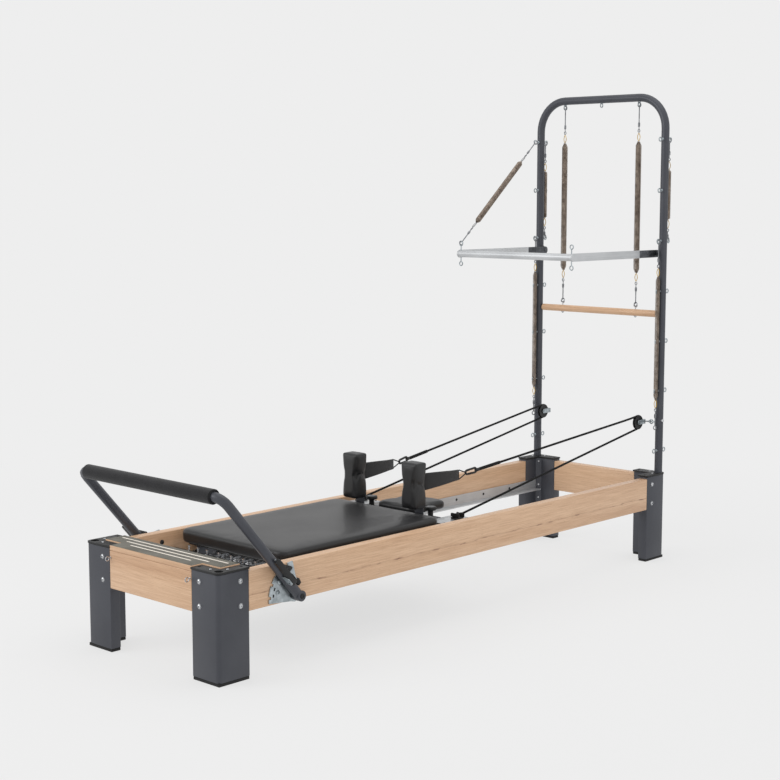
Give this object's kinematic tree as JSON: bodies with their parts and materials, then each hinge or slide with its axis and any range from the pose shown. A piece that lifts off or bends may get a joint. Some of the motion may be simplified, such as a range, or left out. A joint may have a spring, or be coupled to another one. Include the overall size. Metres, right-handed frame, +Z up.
{
  "type": "pilates reformer with tower",
  "caption": "Wooden reformer bed on four steel legs, with a sprung rolling carriage, folding footbar, ropes and pulleys, and a tube tower with push and roll-down bars.",
  "frame": {"origin": "middle of the object seen from above, on the floor", "axes": "+Z up, +Y from the foot end to the tower end, +X to the right side seen from the foot end"},
  "size_m": [0.794, 2.4502, 1.896],
  "materials": {
    "maple": "clear satin lacquer on pale maple",
    "charcoal_paint": "satin charcoal powder coat",
    "black_plastic": "moulded black",
    "black_vinyl": "smooth black upholstery vinyl",
    "black_foam": "closed-cell foam sleeve",
    "zinc": "zinc plated steel",
    "aluminium": "satin aluminium",
    "spring_steel": "nickel plated spring wire",
    "cord": "braided black cord",
    "webbing": "woven black webbing"
  },
  "bodies": {
    "frame": {"near_rail": "maple", "far_rail": "maple", "front_board": "maple", "rear_board": "maple", "standing_platform": "maple", "near_track": "aluminium", "far_track": "aluminium", "tower_frame": "charcoal_paint", "spring_bar": "charcoal_paint", "near_index_plate": "zinc", "far_index_plate": "zinc", "near_pulley_block": "zinc", "far_pulley_block": "zinc", "near_strap_rope": "cord", "far_strap_rope": "cord", "near_carriage_rope": "cord", "far_carriage_rope": "cord", "push_spring": "spring_steel", "front_near_leg": "charcoal_paint", "front_near_foot": "black_plastic", "front_far_leg": "charcoal_paint", "front_far_foot": "black_plastic", "rear_near_leg": "charcoal_paint", "rear_near_foot": "black_plastic", "rear_far_leg": "charcoal_paint", "rear_far_foot": "black_plastic", "carriage_spring_1": "spring_steel", "carriage_spring_2": "spring_steel", "carriage_spring_3": "spring_steel", "carriage_spring_4": "spring_steel", "carriage_spring_5": "spring_steel"},
    "carriage": {"carriage_frame": "aluminium", "carriage_pad": "black_vinyl", "near_shoulder_rest": "black_vinyl", "near_cord_cleat": "black_plastic", "near_hand_strap": "webbing", "near_strap_clip": "black_plastic", "far_shoulder_rest": "black_vinyl", "far_cord_cleat": "black_plastic", "far_hand_strap": "webbing", "far_strap_clip": "black_plastic"},
    "headrest_pad": {"headrest": "black_vinyl"},
    "front_near_roller": {"front_near_wheel": "black_plastic"},
    "front_far_roller": {"front_far_wheel": "black_plastic"},
    "rear_near_roller": {"rear_near_wheel": "black_plastic"},
    "rear_far_roller": {"rear_far_wheel": "black_plastic"},
    "near_knob": {"near_rest_knob": "black_plastic"},
    "far_knob": {"far_rest_knob": "black_plastic"},
    "footbar_arm": {"footbar": "charcoal_paint", "footbar_grip": "black_foam"},
    "near_latch": {"near_latch_lever": "black_plastic"},
    "far_latch": {"far_latch_lever": "black_plastic"},
    "near_pulley_wheel": {"near_sheave": "black_plastic"},
    "far_pulley_wheel": {"far_sheave": "black_plastic"},
    "push_through_bar": {"push_bar": "aluminium", "near_push_arm": "aluminium", "far_push_arm": "aluminium"},
    "roll_springs": {"near_roll_spring": "spring_steel", "far_roll_spring": "spring_steel"},
    "roll_down_bar": {"roll_bar": "maple"}
  },
  "joints": [
    {"name": "carriage_slide", "type": "slide", "parent": "frame", "child": "carriage", "axis": [0, 1, 0], "range_m": [0, 0.82], "stiffness_N_per_m": 250, "springref_m": -0.15, "deforming": ["carriage_spring_1", "carriage_spring_2", "carriage_spring_3", "carriage_spring_4", "carriage_spring_5", "near_strap_rope", "far_strap_rope", "near_carriage_rope", "far_carriage_rope"]},
    {"name": "front_near_roller_spin", "type": "hinge", "parent": "carriage", "child": "front_near_roller", "pos_m": [0.273, -0.784, 0.2423], "axis": [1, 0, 0], "range_deg": [-1960, 0]},
    {"name": "front_far_roller_spin", "type": "hinge", "parent": "carriage", "child": "front_far_roller", "pos_m": [-0.273, -0.784, 0.2423], "axis": [1, 0, 0], "range_deg": [-1960, 0]},
    {"name": "rear_near_roller_spin", "type": "hinge", "parent": "carriage", "child": "rear_near_roller", "pos_m": [0.273, -0.034, 0.2423], "axis": [1, 0, 0], "range_deg": [-1960, 0]},
    {"name": "rear_far_roller_spin", "type": "hinge", "parent": "carriage", "child": "rear_far_roller", "pos_m": [-0.273, -0.034, 0.2423], "axis": [1, 0, 0], "range_deg": [-1960, 0]},
    {"name": "near_knob_turn", "type": "hinge", "parent": "carriage", "child": "near_knob", "pos_m": [0.149, -0.049, 0.34], "axis": [0, 0, 1], "continuous": true},
    {"name": "far_knob_turn", "type": "hinge", "parent": "carriage", "child": "far_knob", "pos_m": [-0.149, -0.049, 0.34], "axis": [0, 0, 1], "continuous": true},
    {"name": "headrest_tilt", "type": "hinge", "parent": "carriage", "child": "headrest_pad", "pos_m": [0, -0.09, 0.333], "axis": [1, 0, 0], "range_deg": [0, 40]},
    {"name": "footbar_swing", "type": "hinge", "parent": "frame", "child": "footbar_arm", "pos_m": [0, -0.901, 0.235], "axis": [1, 0, 0], "range_deg": [-22.8, 45.6]},
    {"name": "near_latch_pull", "type": "slide", "parent": "footbar_arm", "child": "near_latch", "axis": [0, -0.6587, 0.7524], "range_m": [0, 0.014], "stiffness_N_per_m": 400, "springref_m": -0.004},
    {"name": "far_latch_pull", "type": "slide", "parent": "footbar_arm", "child": "far_latch", "axis": [0, -0.6587, 0.7524], "range_m": [0, 0.014], "stiffness_N_per_m": 400, "springref_m": -0.004},
    {"name": "near_pulley_wheel_spin", "type": "hinge", "parent": "frame", "child": "near_pulley_wheel", "pos_m": [0.246, 1.113, 0.563], "axis": [1, 0, 0], "continuous": true},
    {"name": "far_pulley_wheel_spin", "type": "hinge", "parent": "frame", "child": "far_pulley_wheel", "pos_m": [-0.246, 1.113, 0.563], "axis": [1, 0, 0], "continuous": true},
    {"name": "push_bar_swing", "type": "hinge", "parent": "frame", "child": "push_through_bar", "pos_m": [0, 1.166, 1.253], "axis": [-1, 0, 0], "range_deg": [-70, 20], "stiffness_Nm_per_rad": 40, "springref_deg": 20.05, "deforming": ["push_spring"]},
    {"name": "roll_down_swing", "type": "hinge", "parent": "frame", "child": "roll_springs", "pos_m": [0, 1.166, 1.855], "axis": [1, 0, 0], "range_deg": [-35, 35]},
    {"name": "roll_down_pull", "type": "slide", "parent": "roll_springs", "child": "roll_down_bar", "axis": [0, 0, -1], "range_m": [0, 0.3], "stiffness_N_per_m": 300, "springref_m": -0.03, "deforming": ["near_roll_spring", "far_roll_spring"]}
  ],
  "couplings": [
    {"joint": "front_near_roller_spin", "follows": "carriage_slide", "rad_per_m": -41.667},
    {"joint": "front_far_roller_spin", "follows": "carriage_slide", "rad_per_m": -41.667},
    {"joint": "rear_near_roller_spin", "follows": "carriage_slide", "rad_per_m": -41.667},
    {"joint": "rear_far_roller_spin", "follows": "carriage_slide", "rad_per_m": -41.667}
  ]
}
